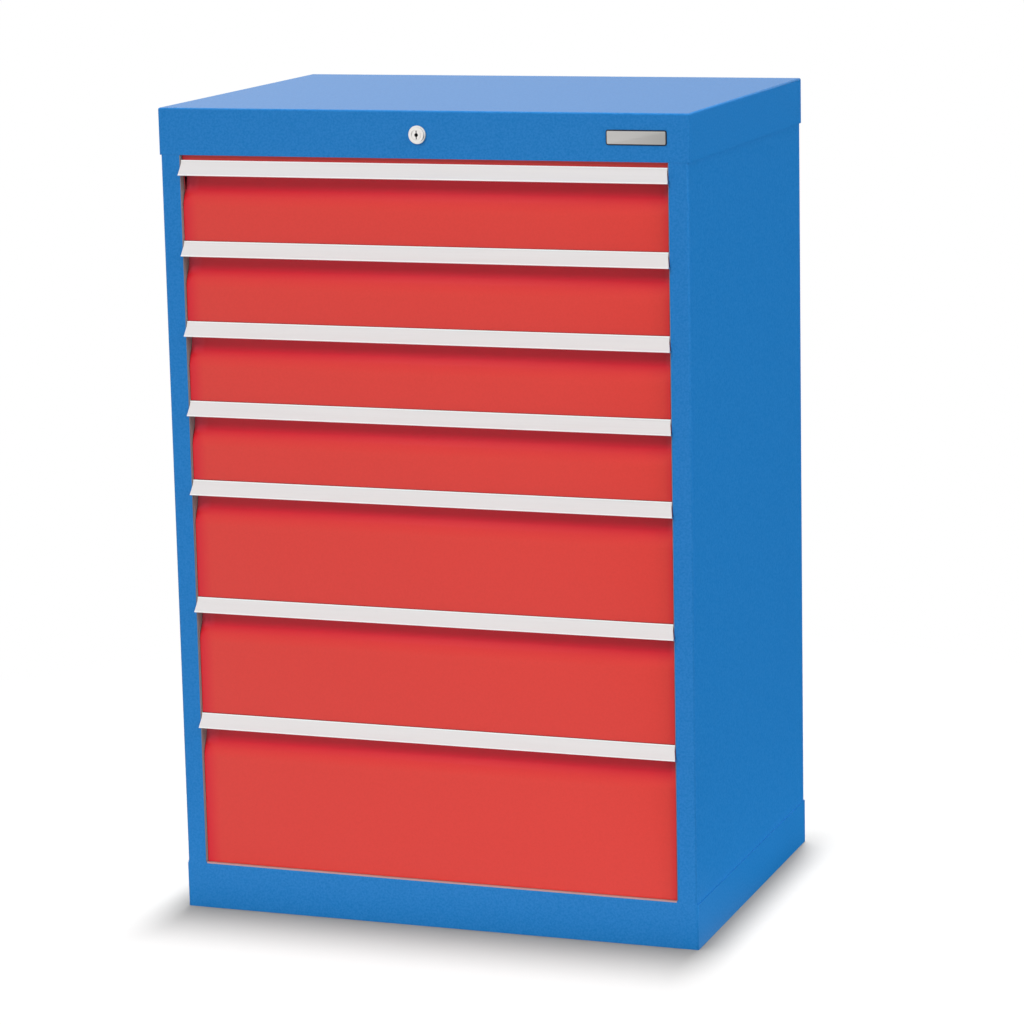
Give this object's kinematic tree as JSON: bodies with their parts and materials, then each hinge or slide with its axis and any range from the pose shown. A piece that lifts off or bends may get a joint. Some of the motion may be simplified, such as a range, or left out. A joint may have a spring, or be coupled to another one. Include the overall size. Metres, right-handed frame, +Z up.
{
  "type": "drawer cabinet",
  "caption": "Free-standing workshop cabinet of folded sheet steel: blue housing, red drawers with grip recesses under full-width aluminium strips, and a cylinder lock in the fascia.",
  "frame": {"origin": "on the floor, at the middle of the cabinet's outer box", "axes": "+X to the right as one faces the drawers, +Y to the back, +Z up; the drawers open towards -Y"},
  "size_m": [0.681, 0.4996, 1.02],
  "materials": {
    "housing_paint": "satin",
    "drawer_paint": "satin",
    "tray_paint": "satin",
    "grip_aluminium": "satin",
    "plate_aluminium": "satin",
    "lock_plating": "polished",
    "zinc_plated_steel": "satin",
    "roller_steel": "satin"
  },
  "bodies": {
    "housing": {"top_cap": "housing_paint", "right_side_panel": "housing_paint", "left_side_panel": "housing_paint", "base_plinth": "housing_paint", "bottom_panel": "housing_paint", "back_panel": "housing_paint", "right_runner_posts": "housing_paint", "left_runner_posts": "housing_paint", "cabinet_runners": "zinc_plated_steel", "name_plate": "plate_aluminium", "lock_barrel": "lock_plating", "lock_nut": "zinc_plated_steel", "lock_bar_guides": "zinc_plated_steel"},
    "lock_cylinder": {"lock_plug": "lock_plating", "lock_shaft": "zinc_plated_steel", "lock_crank": "zinc_plated_steel"},
    "locking_bar": {"lock_bar": "zinc_plated_steel"},
    "drawer_1": {"drawer_1_front": "drawer_paint", "drawer_1_handle": "grip_aluminium", "drawer_1_tray": "tray_paint", "drawer_1_runners": "zinc_plated_steel"},
    "roller_carriage_1": {"roller_cages_1": "zinc_plated_steel", "rollers_1": "roller_steel"},
    "drawer_2": {"drawer_2_front": "drawer_paint", "drawer_2_handle": "grip_aluminium", "drawer_2_tray": "tray_paint", "drawer_2_runners": "zinc_plated_steel"},
    "roller_carriage_2": {"roller_cages_2": "zinc_plated_steel", "rollers_2": "roller_steel"},
    "drawer_3": {"drawer_3_front": "drawer_paint", "drawer_3_handle": "grip_aluminium", "drawer_3_tray": "tray_paint", "drawer_3_runners": "zinc_plated_steel"},
    "roller_carriage_3": {"roller_cages_3": "zinc_plated_steel", "rollers_3": "roller_steel"},
    "drawer_4": {"drawer_4_front": "drawer_paint", "drawer_4_handle": "grip_aluminium", "drawer_4_tray": "tray_paint", "drawer_4_runners": "zinc_plated_steel"},
    "roller_carriage_4": {"roller_cages_4": "zinc_plated_steel", "rollers_4": "roller_steel"},
    "drawer_5": {"drawer_5_front": "drawer_paint", "drawer_5_handle": "grip_aluminium", "drawer_5_tray": "tray_paint", "drawer_5_runners": "zinc_plated_steel"},
    "roller_carriage_5": {"roller_cages_5": "zinc_plated_steel", "rollers_5": "roller_steel"},
    "drawer_6": {"drawer_6_front": "drawer_paint", "drawer_6_handle": "grip_aluminium", "drawer_6_tray": "tray_paint", "drawer_6_runners": "zinc_plated_steel"},
    "roller_carriage_6": {"roller_cages_6": "zinc_plated_steel", "rollers_6": "roller_steel"},
    "drawer_7": {"drawer_7_front": "drawer_paint", "drawer_7_handle": "grip_aluminium", "drawer_7_tray": "tray_paint", "drawer_7_runners": "zinc_plated_steel"},
    "roller_carriage_7": {"roller_cages_7": "zinc_plated_steel", "rollers_7": "roller_steel"}
  },
  "joints": [
    {"name": "locking_bar_lift", "type": "slide", "parent": "housing", "child": "locking_bar", "axis": [0, 0, 1], "range_m": [0, 0.0212]},
    {"name": "lock_turn", "type": "hinge", "parent": "housing", "child": "lock_cylinder", "pos_m": [0, -0.24375, 0.991], "axis": [0, 1, 0], "range_deg": [0, 90]},
    {"name": "drawer_1_slide", "type": "slide", "parent": "housing", "child": "drawer_1", "axis": [0, -1, 0], "range_m": [0, 0.3]},
    {"name": "roller_carriage_1_slide", "type": "slide", "parent": "housing", "child": "roller_carriage_1", "axis": [0, -1, 0], "range_m": [0, 0.15]},
    {"name": "drawer_2_slide", "type": "slide", "parent": "housing", "child": "drawer_2", "axis": [0, -1, 0], "range_m": [0, 0.3]},
    {"name": "roller_carriage_2_slide", "type": "slide", "parent": "housing", "child": "roller_carriage_2", "axis": [0, -1, 0], "range_m": [0, 0.15]},
    {"name": "drawer_3_slide", "type": "slide", "parent": "housing", "child": "drawer_3", "axis": [0, -1, 0], "range_m": [0, 0.3]},
    {"name": "roller_carriage_3_slide", "type": "slide", "parent": "housing", "child": "roller_carriage_3", "axis": [0, -1, 0], "range_m": [0, 0.15]},
    {"name": "drawer_4_slide", "type": "slide", "parent": "housing", "child": "drawer_4", "axis": [0, -1, 0], "range_m": [0, 0.3]},
    {"name": "roller_carriage_4_slide", "type": "slide", "parent": "housing", "child": "roller_carriage_4", "axis": [0, -1, 0], "range_m": [0, 0.15]},
    {"name": "drawer_5_slide", "type": "slide", "parent": "housing", "child": "drawer_5", "axis": [0, -1, 0], "range_m": [0, 0.3]},
    {"name": "roller_carriage_5_slide", "type": "slide", "parent": "housing", "child": "roller_carriage_5", "axis": [0, -1, 0], "range_m": [0, 0.15]},
    {"name": "drawer_6_slide", "type": "slide", "parent": "housing", "child": "drawer_6", "axis": [0, -1, 0], "range_m": [0, 0.3]},
    {"name": "roller_carriage_6_slide", "type": "slide", "parent": "housing", "child": "roller_carriage_6", "axis": [0, -1, 0], "range_m": [0, 0.15]},
    {"name": "drawer_7_slide", "type": "slide", "parent": "housing", "child": "drawer_7", "axis": [0, -1, 0], "range_m": [0, 0.3]},
    {"name": "roller_carriage_7_slide", "type": "slide", "parent": "housing", "child": "roller_carriage_7", "axis": [0, -1, 0], "range_m": [0, 0.15]}
  ],
  "couplings": [
    {"joint": "lock_turn", "follows": "locking_bar_lift", "rad_per_m": 74.07},
    {"joint": "roller_carriage_1_slide", "follows": "drawer_1_slide", "ratio": 0.5},
    {"joint": "roller_carriage_2_slide", "follows": "drawer_2_slide", "ratio": 0.5},
    {"joint": "roller_carriage_3_slide", "follows": "drawer_3_slide", "ratio": 0.5},
    {"joint": "roller_carriage_4_slide", "follows": "drawer_4_slide", "ratio": 0.5},
    {"joint": "roller_carriage_5_slide", "follows": "drawer_5_slide", "ratio": 0.5},
    {"joint": "roller_carriage_6_slide", "follows": "drawer_6_slide", "ratio": 0.5},
    {"joint": "roller_carriage_7_slide", "follows": "drawer_7_slide", "ratio": 0.5}
  ]
}
